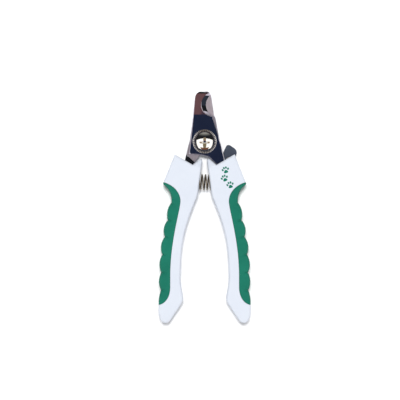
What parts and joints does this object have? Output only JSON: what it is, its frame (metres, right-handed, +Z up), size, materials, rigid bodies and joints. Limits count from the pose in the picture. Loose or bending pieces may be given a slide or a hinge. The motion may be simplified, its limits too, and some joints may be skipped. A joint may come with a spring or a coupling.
{
  "type": "pet nail trimmer",
  "caption": "Pliers-type pet nail trimmer: crossed blades with claw notches on a domed pivot screw, scalloped soft-grip handles, a return spring between them and a thumb lock.",
  "frame": {"origin": "middle of the closed trimmer's outline, on the surface it lies on", "axes": "+Y along the trimmer towards the blade tips, +Z up out of its front face, +X towards the handle that carries the lock lever"},
  "size_m": [0.0596, 0.1498, 0.014],
  "materials": {
    "blade_steel": "mirror-polished stainless steel, ground at the notch",
    "dome_chrome": "mirror polish",
    "ring_steel": "satin, with radial ridges",
    "fastener_steel": "plain",
    "handle_white": "semi-gloss moulded plastic, faintly blue white",
    "grip_green": "matte soft-touch elastomer",
    "spring_wire": "dark oiled spring wire",
    "lever_dark": "dark slate grey, satin"
  },
  "bodies": {
    "left_half": {"rear_blade": "blade_steel", "left_front_shell": "handle_white", "left_back_shell": "handle_white", "left_grip": "grip_green", "left_tang_pin_1": "fastener_steel", "left_tang_pin_2": "fastener_steel", "left_spring_seat": "fastener_steel", "pivot_screw": "dome_chrome", "pivot_ring": "ring_steel", "pivot_spring_washer": "fastener_steel", "pivot_nut": "fastener_steel", "return_spring": "spring_wire"},
    "right_half": {"front_blade": "blade_steel", "right_front_shell": "handle_white", "right_back_shell": "handle_white", "right_grip": "grip_green", "right_tang_pin_1": "fastener_steel", "right_tang_pin_2": "fastener_steel", "right_spring_seat": "fastener_steel", "lock_pin": "fastener_steel", "lock_friction_washer": "fastener_steel"},
    "lock_lever": {"lock_lever": "lever_dark"}
  },
  "joints": [
    {"name": "handle_pivot", "type": "hinge", "parent": "left_half", "child": "right_half", "pos_m": [0, 0.04217, 0.007], "axis": [0, 0, 1], "range_deg": [0, 20], "stiffness_Nm_per_rad": 1.19, "springref_deg": 27.33, "deforming": ["return_spring"]},
    {"name": "lock_pivot", "type": "hinge", "parent": "right_half", "child": "lock_lever", "pos_m": [0.0163, 0.02927, 0.00455], "axis": [0, 0, 1], "range_deg": [0, 20]}
  ]
}
